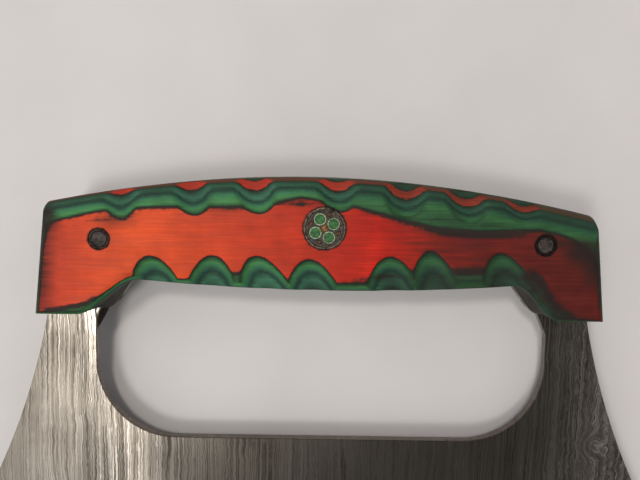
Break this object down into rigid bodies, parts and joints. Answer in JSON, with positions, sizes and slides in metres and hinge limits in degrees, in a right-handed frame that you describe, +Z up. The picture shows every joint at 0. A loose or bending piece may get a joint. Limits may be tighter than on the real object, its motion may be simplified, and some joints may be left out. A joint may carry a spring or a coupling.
{
  "type": "ulu knife",
  "caption": "Ulu knife: broad curved blade with a finger window under a full-width tang, carved laminated-wood scales and mosaic pins.",
  "frame": {"origin": "on the surface that the knife lies on, under the middle of its box", "axes": "+X along the handle, +Y from the cutting edge toward the handle's crest, +Z up out of the front face; the knife lies on its back, tipped 6.1 degrees about X"},
  "size_m": [0.176, 0.127, 0.0235],
  "materials": {
    "blade_steel": "etched pattern-welded steel, satin",
    "front_wood": "red and green laminated veneers, oiled and buffed",
    "back_wood": "red and green laminated veneers, oiled and buffed",
    "pin_steel": "sanded flush, darkened",
    "pin_resin": "dark filled epoxy, sanded flush",
    "pin_brass": "pale worn brass, sanded flush",
    "green_resin": "green epoxy, sanded flush",
    "copper": "copper, sanded flush"
  },
  "bodies": {
    "root": {"blade": "blade_steel", "front_scale": "front_wood", "back_scale": "back_wood", "left_pin_tube": "pin_steel", "left_pin_core": "pin_resin", "right_pin_tube": "pin_steel", "right_pin_core": "pin_resin", "mosaic_outer_tube": "pin_steel", "mosaic_filler": "pin_resin", "mosaic_tube_1": "pin_brass", "mosaic_tube_2": "pin_brass", "mosaic_tube_3": "pin_brass", "mosaic_tube_4": "pin_brass", "mosaic_core_1": "green_resin", "mosaic_core_2": "green_resin", "mosaic_core_3": "green_resin", "mosaic_core_4": "green_resin", "mosaic_rod_1": "copper", "mosaic_rod_2": "copper", "mosaic_rod_3": "copper", "mosaic_rod_4": "copper", "mosaic_center_rod": "copper"}
  },
  "joints": []
}
